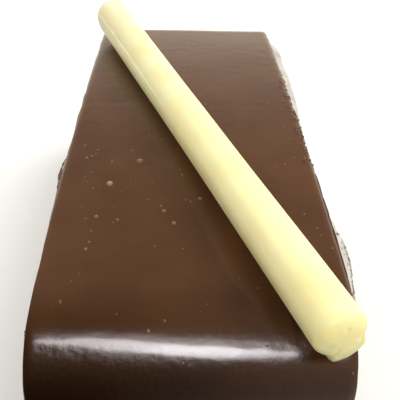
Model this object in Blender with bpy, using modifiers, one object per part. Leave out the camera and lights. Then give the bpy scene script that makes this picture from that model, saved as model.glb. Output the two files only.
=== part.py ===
"""A chocolate chantilly slice that rests on its flat base.

Two layers of chocolate sponge and two of whipped cream lie under a poured chocolate glaze, which runs down
over both short ends. The long sides are cut, so the layers show there. A rolled stick of white chocolate lies
across the top, from the far left corner to the near right one. X runs across the slice, Y along it and Z up,
and the near end faces -Y. The origin is at the bottom centre of the whole.
"""

import math

import bmesh
import bpy
from mathutils import Matrix, Vector, noise

MM = 0.001

# Driving dimensions of the slice
SLICE_LENGTH = 118.5 * MM
SLICE_WIDTH = 44.0 * MM
SLICE_HEIGHT = 40.0 * MM
NEAR_ROUND = 11.0 * MM
FAR_ROUND = 9.0 * MM
CROWN_RADIUS = 730.0 * MM

# The whole slice spreads towards its base, its far end is cut askew, and its layers are wavy
SLUMP = 1.2 * MM
FAR_SKEW = 0.057
WAVE_HEIGHT = 0.6 * MM
WAVE_LENGTH = 28.0 * MM
WAVE_SEED = 3.7

# Touching pieces keep this gap
GAP = 0.3 * MM

# Heights where one layer ends and the next begins
SPONGE_BASE_TOP = 11.0 * MM
CREAM_LOWER_TOP = 18.0 * MM
SPONGE_MIDDLE_TOP = 27.0 * MM

# Glaze
GLAZE_THICKNESS = 2.2 * MM
GLAZE_FOOT = 1.2 * MM
GLAZE_EDGE_ROUND = 0.6 * MM
GLAZE_CELLS_ACROSS = 4
GLAZE_WALL_CELLS = 6
GLAZE_ROUND_CELLS = 7
GLAZE_CROWN_CELLS = 16

# Cut sides: how far each layer stands out of the cut plane
SPONGE_REACH = 0.7 * MM
SPONGE_EDGE_SHARE = 0.4
CRUMB_RELIEF = 0.45 * MM
CRUMB_SIZE = 4.0 * MM
CRUMB_SEED = 11.3
FINE_CRUMB_RELIEF = 0.27 * MM
FINE_CRUMB_SIZE = 1.74 * MM
FINE_CRUMB_SEED = 5.1
CREAM_LOWER_BULGE = 1.3 * MM
CREAM_LEFT_BULGE = 1.0 * MM
CREAM_LEFT_PEAK = 1.25
CREAM_RIGHT_BULGE = 1.9 * MM
CREAM_RIGHT_PEAK = 2.8
CREAM_FAR_SWELL = 1.3 * MM
CREAM_FAR_SWELL_FROM = -10.0 * MM
CREAM_FAR_SWELL_FULL = 25.0 * MM
CREAM_FAR_KNOB = 1.0 * MM
CREAM_FAR_KNOB_PLACE = 45.0 * MM
CREAM_FAR_KNOB_SPREAD = 5.0 * MM
CREAM_FAR_STOP = (49.0 * MM, 54.0 * MM)
CREAM_NEAR_KNOB = 0.9 * MM
CREAM_NEAR_KNOB_PLACE = -38.0 * MM
CREAM_NEAR_KNOB_SPREAD = 7.0 * MM
CREAM_NEAR_STOP = (46.0 * MM, 58.0 * MM)
CREAM_MIDDLE_DIP = 0.6 * MM
CREAM_MIDDLE_DIP_PLACE = -16.0 * MM
CREAM_MIDDLE_DIP_SPREAD = 10.0 * MM
CREAM_RIPPLE = 0.35 * MM
CREAM_RIPPLE_SIZE = 11.0 * MM
CREAM_RIPPLE_SEED = 9.1
CREAM_END_SHARPNESS = 14
LAYER_CELLS = (4, 36, 3)
CREAM_RISE_CELLS = 6
CREAM_WALL_CELLS = 2
CREAM_ROUND_CELLS = 5
CREAM_CROWN_CELLS = 22
MERGE_DISTANCE = 0.01 * MM

# Rolled stick
STICK_LENGTH = 114.7 * MM
STICK_NEAR_RADIUS = 3.6 * MM
STICK_FAR_RADIUS = 4.24 * MM
STICK_ANGLE = math.radians(18.56)
STICK_PITCH = math.radians(0.22)
STICK_CROSSING = Vector((-4.85 * MM, 0.9 * MM))
STICK_NEAR_OF_CROSSING = 68.8 * MM
STICK_SIDES = 36
STICK_RINGS = 16
STICK_SEAM_STEP = 0.35 * MM
STICK_SEAM_ANGLE = math.radians(157.0)
STICK_DOME = 1.7 * MM
STICK_DOME_POWER = 2.6
STICK_RIM_RINGS = (0.985, 0.94, 0.84, 0.65, 0.35)
STICK_LIP = 0.45 * MM
STICK_LIP_ANGLE = math.radians(295.0)
STICK_LIP_SPREAD = math.radians(40.0)
STICK_FLARE = 0.85 * MM
STICK_FLARE_LENGTH = 5.0 * MM

HALF_LENGTH = SLICE_LENGTH / 2
HALF_WIDTH = SLICE_WIDTH / 2
LAYER_INSET = GLAZE_THICKNESS + GAP
COLLECTION_NAME = "chocolate_chantilly_slice"

# Base colour, roughness
MATERIALS = {
    "dark_glaze": ((0.085, 0.040, 0.022), 0.16),
    "chocolate_sponge": ((0.075, 0.032, 0.015), 0.92),
    "whipped_cream": ((0.82, 0.78, 0.72), 0.55),
    "white_chocolate": ((0.86, 0.78, 0.46), 0.38),
}


def smooth_noise(x, y, z=0.0):
    """Gentle noise between about -1 and 1, the same on every run."""
    return noise.noise(Vector((x, y, z)))


def smoothstep(low, high, value):
    """0 below low, 1 above high, and an even curve between."""
    share = min(1.0, max(0.0, (value - low) / (high - low)))
    return share * share * (3 - 2 * share)


def hump(value, place, spread):
    """1 at a place, and falling off evenly on both sides."""
    return math.exp(-(((value - place) / spread) ** 2))


def settle(point):
    """Spread a point of the upright slice towards the base, skew its far end, and let the layers wave."""
    x, y, z = point
    spread = SLUMP * (1 - (z / SLICE_HEIGHT) ** 2)
    skew = FAR_SKEW * x * (max(0.0, y) / HALF_LENGTH) ** 2
    wave = smooth_noise(x / WAVE_LENGTH, y / WAVE_LENGTH, WAVE_SEED) * math.sin(math.pi * z / SLICE_HEIGHT)
    wide = x * (1 + spread / HALF_WIDTH)
    long = y * (1 + spread / HALF_LENGTH) + skew
    return Vector((wide, long, z + WAVE_HEIGHT * wave))


def round_centre(radius, side):
    """Centre (Y, Z) of the end rounding that touches both the crown and the end wall."""
    across = side * (HALF_LENGTH - radius)
    up = SLICE_HEIGHT - CROWN_RADIUS + math.sqrt((CROWN_RADIUS - radius) ** 2 - across ** 2)
    return across, up


def arc(centre, radius, start, end, cells):
    """Points on a circle in the YZ plane between two angles; 0 is straight up and positive leans to +Y."""
    angles = [start + (end - start) * step / cells for step in range(cells + 1)]
    return [(centre[0] + radius * math.sin(a), centre[1] + radius * math.cos(a)) for a in angles]


def wall(y, low, high, cells):
    """Points straight up an end wall."""
    return [(y, low + (high - low) * step / cells) for step in range(cells + 1)]


def long_outline(inset, foot, wall_cells, round_cells, crown_cells):
    """Outline (Y, Z) from the near foot over the crown to the far foot, inside the true one by inset."""
    near = round_centre(NEAR_ROUND, -1)
    far = round_centre(FAR_ROUND, 1)
    near_lean = math.asin(near[0] / (CROWN_RADIUS - NEAR_ROUND))
    far_lean = math.asin(far[0] / (CROWN_RADIUS - FAR_ROUND))
    crown_centre = (0.0, SLICE_HEIGHT - CROWN_RADIUS)
    near_wall = wall(inset - HALF_LENGTH, foot, near[1], wall_cells)
    near_round = arc(near, NEAR_ROUND - inset, -math.pi / 2, near_lean, round_cells)
    crown = arc(crown_centre, CROWN_RADIUS - inset, near_lean, far_lean, crown_cells)
    far_round = arc(far, FAR_ROUND - inset, far_lean, math.pi / 2, round_cells)
    far_wall = wall(HALF_LENGTH - inset, foot, far[1], wall_cells)[::-1]
    return near_wall + near_round[1:] + crown[1:] + far_round[1:] + far_wall[1:]


def crumb_relief(y, z, side):
    """How far the torn sponge stands in or out at one place of a cut side."""
    coarse = smooth_noise(y / CRUMB_SIZE, z / CRUMB_SIZE, CRUMB_SEED * side)
    fine = smooth_noise(y / FINE_CRUMB_SIZE, z / FINE_CRUMB_SIZE, FINE_CRUMB_SEED * side)
    return CRUMB_RELIEF * coarse + FINE_CRUMB_RELIEF * fine


def sponge_reach(y, z, rise, side):
    """Half width of a sponge layer: rough, and slightly rounded at its top and bottom."""
    inside = 4 * rise * (1 - rise)
    share = SPONGE_EDGE_SHARE + (1 - SPONGE_EDGE_SHARE) * inside
    return HALF_WIDTH + SPONGE_REACH * share + crumb_relief(y, z, side)


def end_fade(y):
    """1 along a cut side, falling to 0 in a short curve at both ends."""
    return math.sqrt(max(0.0, 1 - abs(y / HALF_LENGTH) ** CREAM_END_SHARPNESS))


def ripple(y, side):
    """Slow unevenness of a squeezed cream edge."""
    return CREAM_RIPPLE * smooth_noise(y / CREAM_RIPPLE_SIZE, CREAM_RIPPLE_SEED * side)


def lower_cream_reach(y, z, rise, side):
    """Half width of the lower cream, squeezed out a little between the two sponges."""
    bulge = math.sin(math.pi * rise) * end_fade(y)
    return HALF_WIDTH + (CREAM_LOWER_BULGE + ripple(y, side)) * bulge


def right_bulge(y):
    """How far the upper cream is squeezed out on the right: most in the far half, none at the near end."""
    most = CREAM_RIGHT_BULGE + CREAM_FAR_SWELL * smoothstep(CREAM_FAR_SWELL_FROM, CREAM_FAR_SWELL_FULL, y)
    most += CREAM_FAR_KNOB * hump(y, CREAM_FAR_KNOB_PLACE, CREAM_FAR_KNOB_SPREAD)
    most += CREAM_NEAR_KNOB * hump(y, CREAM_NEAR_KNOB_PLACE, CREAM_NEAR_KNOB_SPREAD)
    most -= CREAM_MIDDLE_DIP * hump(y, CREAM_MIDDLE_DIP_PLACE, CREAM_MIDDLE_DIP_SPREAD)
    return most * (1 - smoothstep(*CREAM_FAR_STOP, y)) * (1 - smoothstep(*CREAM_NEAR_STOP, -y))


def upper_cream_reach(y, z, rise, side):
    """Half width of the upper cream, which bulges most on the right, close under the glaze."""
    most = right_bulge(y) if side > 0 else CREAM_LEFT_BULGE
    peak = CREAM_RIGHT_PEAK if side > 0 else CREAM_LEFT_PEAK
    bulge = math.sin(math.pi * rise ** peak) * end_fade(y)
    return HALF_WIDTH - GAP + (most + ripple(y, side)) * bulge


def grid_block(cells):
    """A closed block from 0 to 1 along each axis, cut into cells."""
    bm = bmesh.new()
    bmesh.ops.create_cube(bm, size=1.0, matrix=Matrix.Translation((0.5, 0.5, 0.5)))
    for axis, count in enumerate(cells):
        along = [e for e in bm.edges if abs(e.verts[0].co[axis] - e.verts[1].co[axis]) > 0.5]
        bmesh.ops.subdivide_edges(bm, edges=along, cuts=count - 1, use_grid_fill=True)
    return bm


def make_material(name):
    """Principled material with the piece's colour and roughness."""
    material = bpy.data.materials.new(name)
    material.use_nodes = True
    shader = material.node_tree.nodes["Principled BSDF"]
    colour, roughness = MATERIALS[name]
    shader.inputs["Base Color"].default_value = (*colour, 1.0)
    shader.inputs["Roughness"].default_value = roughness
    shader.inputs["Metallic"].default_value = 0.0
    return material


def add_object(name, bm, material, collection, root):
    """Turn a bmesh into a named, smooth-shaded object of the slice."""
    mesh = bpy.data.meshes.new(name)
    bm.to_mesh(mesh)
    bm.free()
    mesh.materials.append(material)
    mesh.shade_smooth()
    mesh.set_sharp_from_angle(angle=math.radians(40))
    piece = bpy.data.objects.new(name, mesh)
    piece.parent = root
    collection.objects.link(piece)
    return piece


def add_flat_layer(name, low, high, reach, material, collection, root):
    """One layer with level faces, cut sides shaped by reach, and plain ends behind the glaze."""
    bm = grid_block(LAYER_CELLS)
    for vert in bm.verts:
        side = 2 * vert.co.x - 1
        y = (2 * vert.co.y - 1) * (HALF_LENGTH - LAYER_INSET)
        rise = vert.co.z
        z = low + rise * (high - low)
        x = side * reach(y, z, rise, math.copysign(1, side))
        vert.co = settle((x, y, z))
    return add_object(name, bm, material, collection, root)


def add_upper_cream(material, collection, root):
    """The upper cream: level below, and rounded above to lie just inside the glaze."""
    low = SPONGE_MIDDLE_TOP + GAP
    outline = long_outline(LAYER_INSET, low + GAP, CREAM_WALL_CELLS, CREAM_ROUND_CELLS, CREAM_CROWN_CELLS)
    cells_along = len(outline) - 1
    bm = grid_block((LAYER_CELLS[0], cells_along, CREAM_RISE_CELLS))
    for vert in bm.verts:
        side = 2 * vert.co.x - 1
        rise = vert.co.z
        top_y, top_z = outline[round(vert.co.y * cells_along)]
        y = top_y
        z = low + rise * (top_z - low)
        x = side * upper_cream_reach(y, z, rise, math.copysign(1, side))
        vert.co = settle((x, y, z))
    bmesh.ops.remove_doubles(bm, verts=bm.verts, dist=MERGE_DISTANCE)
    return add_object("cream_upper", bm, material, collection, root)


def add_glaze(material, collection, root):
    """The poured glaze: an open sheet over the top and both ends, thickened inwards."""
    outline = long_outline(0.0, GLAZE_FOOT, GLAZE_WALL_CELLS, GLAZE_ROUND_CELLS, GLAZE_CROWN_CELLS)
    cells_along = len(outline) - 1
    bm = bmesh.new()
    bmesh.ops.create_grid(bm, x_segments=GLAZE_CELLS_ACROSS, y_segments=cells_along, size=1.0)
    for vert in bm.verts:
        y, z = outline[round((vert.co.y + 1) / 2 * cells_along)]
        vert.co = settle((vert.co.x * HALF_WIDTH, y, z))
    piece = add_object("glaze", bm, material, collection, root)
    shell = piece.modifiers.new("thickness", "SOLIDIFY")
    shell.thickness = GLAZE_THICKNESS
    shell.offset = -1.0
    shell.use_even_offset = True
    edges = piece.modifiers.new("soft edges", "BEVEL")
    edges.width = GLAZE_EDGE_ROUND
    edges.segments = 2
    edges.limit_method = "ANGLE"
    edges.angle_limit = math.radians(60)
    return piece


def stick_radius(along):
    """Mean radius of the roll at a share of its length; it widens towards the far end."""
    return STICK_NEAR_RADIUS + (STICK_FAR_RADIUS - STICK_NEAR_RADIUS) * along ** 2


def stick_point(angle, fraction, along):
    """Point of the roll in its own frame, along +Y from its near end, at a fraction of its outer radius."""
    turn = ((angle - STICK_SEAM_ANGLE) / math.tau) % 1.0
    radius = stick_radius(along) + STICK_SEAM_STEP * (0.5 - turn)
    y = along * STICK_LENGTH
    away = (angle - STICK_LIP_ANGLE + math.pi) % math.tau - math.pi
    loose = hump(away, 0.0, STICK_LIP_SPREAD)
    radius += STICK_FLARE * loose * hump(y, 0.0, STICK_FLARE_LENGTH)
    inner = max(0.0, 1 - fraction ** STICK_DOME_POWER)
    cut = STICK_DOME * (1 - inner ** (1 / STICK_DOME_POWER))
    if along < 0.5 / STICK_RINGS:
        y += cut - STICK_LIP * fraction ** 2 * loose
    elif along > 1 - 0.5 / STICK_RINGS:
        y -= cut
    return Vector((radius * fraction * math.cos(angle), y, radius * fraction * math.sin(angle)))


def add_stick(material, collection, root):
    """The rolled stick: a stepped seam along it, blunt domed ends, and a loose wrap at the near end."""
    bm = bmesh.new()
    upright_to_long = Matrix.Rotation(math.radians(-90), 4, "X")
    bmesh.ops.create_cone(
        bm, cap_ends=True, segments=STICK_SIDES, radius1=1.0, radius2=1.0, depth=1.0, matrix=upright_to_long)
    sides = [e for e in bm.edges if abs(e.verts[0].co.y - e.verts[1].co.y) > 0.5]
    bmesh.ops.subdivide_edges(bm, edges=sides, cuts=STICK_RINGS - 1, use_grid_fill=True)
    outer = 1.0
    for ring in STICK_RIM_RINGS:
        caps = [f for f in bm.faces if len(f.verts) == STICK_SIDES]
        bmesh.ops.inset_individual(bm, faces=caps, thickness=(outer - ring) * math.cos(math.pi / STICK_SIDES))
        outer = ring
    for vert in bm.verts:
        x, y, z = vert.co
        vert.co = stick_point(math.atan2(z, x), math.hypot(x, z), y + 0.5)
    piece = add_object("white_chocolate_stick", bm, material, collection, root)
    crossing_radius = stick_radius(STICK_NEAR_OF_CROSSING / STICK_LENGTH)
    axis_height = SLICE_HEIGHT + GAP + STICK_SEAM_STEP / 2 + crossing_radius
    direction = Vector((-math.sin(STICK_ANGLE), math.cos(STICK_ANGLE), math.tan(STICK_PITCH))).normalized()
    crossing = Vector((STICK_CROSSING.x, STICK_CROSSING.y, axis_height))
    piece.location = crossing - STICK_NEAR_OF_CROSSING * direction
    piece.rotation_euler = (STICK_PITCH, 0.0, STICK_ANGLE)
    return piece


def centre_on_base(root, pieces):
    """Move everything so that the origin is at the bottom centre of the whole."""
    bpy.context.view_layer.update()
    graph = bpy.context.evaluated_depsgraph_get()
    corners = []
    for piece in pieces:
        shown = piece.evaluated_get(graph)
        corners += [shown.matrix_world @ vert.co for vert in shown.data.vertices]
    low = [min(corner[axis] for corner in corners) for axis in range(3)]
    high = [max(corner[axis] for corner in corners) for axis in range(3)]
    root.location = (-(low[0] + high[0]) / 2, -(low[1] + high[1]) / 2, -low[2])
    bpy.context.view_layer.update()


def main():
    for old in list(bpy.data.objects):
        bpy.data.objects.remove(old, do_unlink=True)
    collection = bpy.data.collections.new(COLLECTION_NAME)
    bpy.context.scene.collection.children.link(collection)
    root = bpy.data.objects.new("slice_frame", None)
    collection.objects.link(root)
    materials = {name: make_material(name) for name in MATERIALS}
    sponge = materials["chocolate_sponge"]
    cream = materials["whipped_cream"]
    pieces = [
        add_flat_layer("sponge_base", 0.0, SPONGE_BASE_TOP, sponge_reach, sponge, collection, root),
        add_flat_layer(
            "cream_lower", SPONGE_BASE_TOP + GAP, CREAM_LOWER_TOP,
            lower_cream_reach, cream, collection, root),
        add_flat_layer(
            "sponge_middle", CREAM_LOWER_TOP + GAP, SPONGE_MIDDLE_TOP,
            sponge_reach, sponge, collection, root),
        add_upper_cream(cream, collection, root),
        add_glaze(materials["dark_glaze"], collection, root),
        add_stick(materials["white_chocolate"], collection, root),
    ]
    centre_on_base(root, pieces)


main()
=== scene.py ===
"""Looks of the chocolate chantilly slice: glaze, cream, sponge, crumbs, bubbles and the rolled stick.

Pieces are modelled in the slice's own frame, upright and centred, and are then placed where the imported
model has it.
"""

import math
import random

import bmesh
import bpy
import numpy as np
from mathutils import Matrix, Vector, noise


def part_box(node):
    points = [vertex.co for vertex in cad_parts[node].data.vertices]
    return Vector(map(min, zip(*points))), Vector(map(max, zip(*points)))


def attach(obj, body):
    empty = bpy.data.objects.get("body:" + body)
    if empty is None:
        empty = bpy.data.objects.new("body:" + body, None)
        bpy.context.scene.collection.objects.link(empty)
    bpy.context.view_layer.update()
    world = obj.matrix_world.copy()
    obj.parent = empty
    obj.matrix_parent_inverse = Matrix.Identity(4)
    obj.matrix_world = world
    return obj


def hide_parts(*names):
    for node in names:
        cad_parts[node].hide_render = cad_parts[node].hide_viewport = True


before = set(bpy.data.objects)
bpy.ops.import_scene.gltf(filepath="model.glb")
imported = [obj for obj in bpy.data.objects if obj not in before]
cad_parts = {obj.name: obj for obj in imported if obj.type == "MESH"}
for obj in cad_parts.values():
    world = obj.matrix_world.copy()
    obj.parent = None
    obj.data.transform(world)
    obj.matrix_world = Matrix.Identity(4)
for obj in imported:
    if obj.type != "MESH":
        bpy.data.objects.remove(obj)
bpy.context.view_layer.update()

MM = 0.001
BODY = "root"

# The slice's form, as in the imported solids
SLICE_LENGTH = 118.5 * MM
SLICE_WIDTH = 44.0 * MM
SLICE_HEIGHT = 40.0 * MM
NEAR_ROUND = 11.0 * MM
FAR_ROUND = 9.0 * MM
CROWN_RADIUS = 730.0 * MM
SLUMP = 1.2 * MM
FAR_SKEW = 0.057
WAVE_HEIGHT = 0.6 * MM
WAVE_LENGTH = 28.0 * MM
SPONGE_BASE_TOP = 11.0 * MM
CREAM_LOWER_TOP = 18.0 * MM
SPONGE_MIDDLE_TOP = 27.0 * MM
GLAZE_THICKNESS = 2.2 * MM
GLAZE_FOOT = 1.2 * MM
HALF_LENGTH = SLICE_LENGTH / 2
HALF_WIDTH = SLICE_WIDTH / 2

# Layers meet with a hair's gap
SEAM_GAP = 0.04 * MM

# Where each unevenness is read from the noise, so that no two are alike
SEEDS = {
    "wave": 3.7, "glaze edge": 1.7, "glaze nick": 8.3, "glaze under": 5.5, "cream ripple": 9.1,
    "stick face": 4.7, "seam dash": 4.4,
}

# Rolled stick
STICK_LENGTH = 114.7 * MM
STICK_NEAR_RADIUS = 3.6 * MM
STICK_FAR_RADIUS = 4.24 * MM
STICK_ANGLE = math.radians(18.56)
STICK_PITCH = math.radians(0.22)
STICK_CROSSING = Vector((-4.85 * MM, 0.9 * MM))
STICK_NEAR_OF_CROSSING = 68.8 * MM
STICK_LIFT = 0.46 * MM

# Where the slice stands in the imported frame; along Y its near foot tells, because the far end is askew
glaze_low, glaze_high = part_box("glaze")
NEAR_FOOT = HALF_LENGTH + SLUMP * (1 - (GLAZE_FOOT / SLICE_HEIGHT) ** 2)
SLICE_CENTRE = Vector(((glaze_low.x + glaze_high.x) / 2, glaze_low.y + NEAR_FOOT, 0.0))

# Camera, placed from the slice's centre on the floor
CAMERA_PLACE = Vector((-3.1, -110.5, 96.3)) * MM
CAMERA_PITCH = math.radians(35.4)
CAMERA_YAW = math.radians(3.25)
CAMERA_ROLL = math.radians(2.83)
CAMERA_LENS = 54.0
CAMERA_SENSOR = 36.0
CAMERA_CLIP = 5.0 * MM
CAMERA_TURN = (
    Matrix.Rotation(-CAMERA_YAW, 4, "Z") @ Matrix.Rotation(math.pi / 2 - CAMERA_PITCH, 4, "X")
    @ Matrix.Rotation(CAMERA_ROLL, 4, "Z"))
PHOTO_SIZE = 400

# Lines of sight are followed from the nearest to the farthest reach in short steps
SIGHT_NEAREST = 40.0 * MM
SIGHT_FARTHEST = 300.0 * MM
SIGHT_STEP = 0.1 * MM


def smooth_noise(x, y, z=0.0):
    """Gentle noise between about -1 and 1, the same on every run."""
    return noise.noise(Vector((x, y, z)))


def smoothstep(low, high, value):
    """0 below low, 1 above high, and an even curve between."""
    share = min(1.0, max(0.0, (value - low) / (high - low)))
    return share * share * (3 - 2 * share)


def plateau(value, rise, fall):
    """1 between two slopes and 0 outside them; each slope is where it starts and where it ends."""
    return smoothstep(*rise, value) * (1 - smoothstep(*fall, value))


def hump(value, place, spread):
    """1 at a place, and falling off evenly on both sides."""
    return math.exp(-(((value - place) / spread) ** 2))


def swelling(y, form):
    """How far a swelling stands out at a place along the slice; its form is its height, place and spread."""
    height, place, spread = form
    return height * hump(y, place, spread)


# Form of the slice

def settle(x, y, z):
    """Spread a point of the upright slice towards the base, skew its far end, and let the layers wave."""
    spread = SLUMP * (1 - (z / SLICE_HEIGHT) ** 2)
    skew = FAR_SKEW * x * (max(0.0, y) / HALF_LENGTH) ** 2
    wave = smooth_noise(x / WAVE_LENGTH, y / WAVE_LENGTH, SEEDS["wave"])
    lift = WAVE_HEIGHT * wave * math.sin(math.pi * z / SLICE_HEIGHT)
    return x * (1 + spread / HALF_WIDTH), y * (1 + spread / HALF_LENGTH) + skew, z + lift


def round_centre(radius, side):
    """Centre (Y, Z) of the end rounding that touches both the crown and the end wall."""
    across = side * (HALF_LENGTH - radius)
    up = SLICE_HEIGHT - CROWN_RADIUS + math.sqrt((CROWN_RADIUS - radius) ** 2 - across ** 2)
    return across, up


NEAR_CENTRE = round_centre(NEAR_ROUND, -1)
FAR_CENTRE = round_centre(FAR_ROUND, 1)
NEAR_LEAN = math.asin(NEAR_CENTRE[0] / (CROWN_RADIUS - NEAR_ROUND))
FAR_LEAN = math.asin(FAR_CENTRE[0] / (CROWN_RADIUS - FAR_ROUND))


def top_height(y, inset):
    """Height of the outline at a place along the slice, inside the true outline by inset."""
    for centre, radius, lean, side in (
            (NEAR_CENTRE, NEAR_ROUND, NEAR_LEAN, -1), (FAR_CENTRE, FAR_ROUND, FAR_LEAN, 1)):
        touch = centre[0] + (radius - inset) * math.sin(lean)
        if side * (y - touch) > 0:
            return centre[1] + math.sqrt(max(0.0, (radius - inset) ** 2 - (y - centre[0]) ** 2))
    return SLICE_HEIGHT - CROWN_RADIUS + math.sqrt((CROWN_RADIUS - inset) ** 2 - y ** 2)


def outline_places(step, foot):
    """Points of the outline from the near foot over the top to the far foot, each (y, z, lean)."""
    places = []

    def add_wall(y, low, high, lean):
        count = max(2, round(abs(high - low) / step))
        places.extend((y, low + (high - low) * k / count, lean) for k in range(count))

    def add_arc(centre, radius, start, end):
        count = max(2, round(abs(end - start) * radius / step))
        for k in range(count):
            lean = start + (end - start) * k / count
            out_y, out_z = math.sin(lean), math.cos(lean)
            places.append((centre[0] + radius * out_y, centre[1] + radius * out_z, lean))

    add_wall(-HALF_LENGTH, foot, NEAR_CENTRE[1], -math.pi / 2)
    add_arc(NEAR_CENTRE, NEAR_ROUND, -math.pi / 2, NEAR_LEAN)
    add_arc((0.0, SLICE_HEIGHT - CROWN_RADIUS), CROWN_RADIUS, NEAR_LEAN, FAR_LEAN)
    add_arc(FAR_CENTRE, FAR_ROUND, FAR_LEAN, math.pi / 2)
    add_wall(HALF_LENGTH, FAR_CENTRE[1], foot, math.pi / 2)
    places.append((HALF_LENGTH, foot, math.pi / 2))
    return places


def lean_at(y):
    """How far the outline leans from straight up at a place on its top, as an angle towards +Y."""
    if y < NEAR_CENTRE[0] + NEAR_ROUND * math.sin(NEAR_LEAN):
        return math.asin(max(-1.0, (y - NEAR_CENTRE[0]) / NEAR_ROUND))
    if y > FAR_CENTRE[0] + FAR_ROUND * math.sin(FAR_LEAN):
        return math.asin(min(1.0, (y - FAR_CENTRE[0]) / FAR_ROUND))
    return math.asin(y / CROWN_RADIUS)


def seen_on_top(column, row):
    """The place (x, y, z) on the slice's top that the photograph shows at a pixel."""
    focal = CAMERA_LENS / CAMERA_SENSOR * PHOTO_SIZE
    half = PHOTO_SIZE / 2
    ray = CAMERA_TURN.to_3x3() @ Vector((column - half, half - row, -focal)).normalized()
    reach = SIGHT_NEAREST
    while reach < SIGHT_FARTHEST:
        spot = CAMERA_PLACE + ray * reach
        if abs(spot.y) < HALF_LENGTH and spot.z < top_height(spot.y, 0.0):
            break
        reach += SIGHT_STEP
    return spot


# Building meshes

def place_piece(name, mesh, material):
    """Link a mesh as a piece that rides with the slice."""
    piece = bpy.data.objects.new(name, mesh)
    piece.location = SLICE_CENTRE
    bpy.context.scene.collection.objects.link(piece)
    mesh.materials.append(material)
    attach(piece, BODY)
    return piece


def smooth_mesh(name, points, faces):
    """A smooth-shaded mesh from points and faces."""
    mesh = bpy.data.meshes.new(name)
    mesh.from_pydata(points, [], faces)
    mesh.validate()
    mesh.shade_smooth()
    return mesh


def store(mesh, name, values):
    """Keep one number for each point of a mesh, for its material to read."""
    stored = mesh.attributes.new(name, "FLOAT", "POINT")
    stored.data.foreach_set("value", np.asarray(values, np.float32))


def loft(name, rings, sharp=60):
    """A closed skin through rings with the same number of points each, capped at both ends."""
    rings = np.asarray(rings, float)
    count, around = rings.shape[:2]
    start = (np.arange(count - 1) * around)[:, None]
    here = np.arange(around)[None, :]
    after = (here + 1) % around
    above = start + around
    quads = np.stack([start + here, start + after, above + after, above + here], axis=-1)
    faces = quads.reshape(-1, 4).tolist()
    faces.append(list(range(around))[::-1])
    faces.append([(count - 1) * around + k for k in range(around)])
    mesh = smooth_mesh(name, rings.reshape(-1, 3).tolist(), faces)
    mesh.set_sharp_from_angle(angle=math.radians(sharp))
    return mesh


def clustered(low, high, step, end_length):
    """Places from low to high, closer together near both ends."""
    end_count = max(2, round(end_length / step))
    end = [end_length * (k / end_count) ** 2 for k in range(end_count)]
    middle_length = high - low - 2 * end_length
    middle_count = max(2, round(middle_length / step))
    middle = [low + end_length + middle_length * k / middle_count for k in range(middle_count + 1)]
    return [low + d for d in end] + middle + [high - d for d in end[::-1]]


# Node materials

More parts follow.
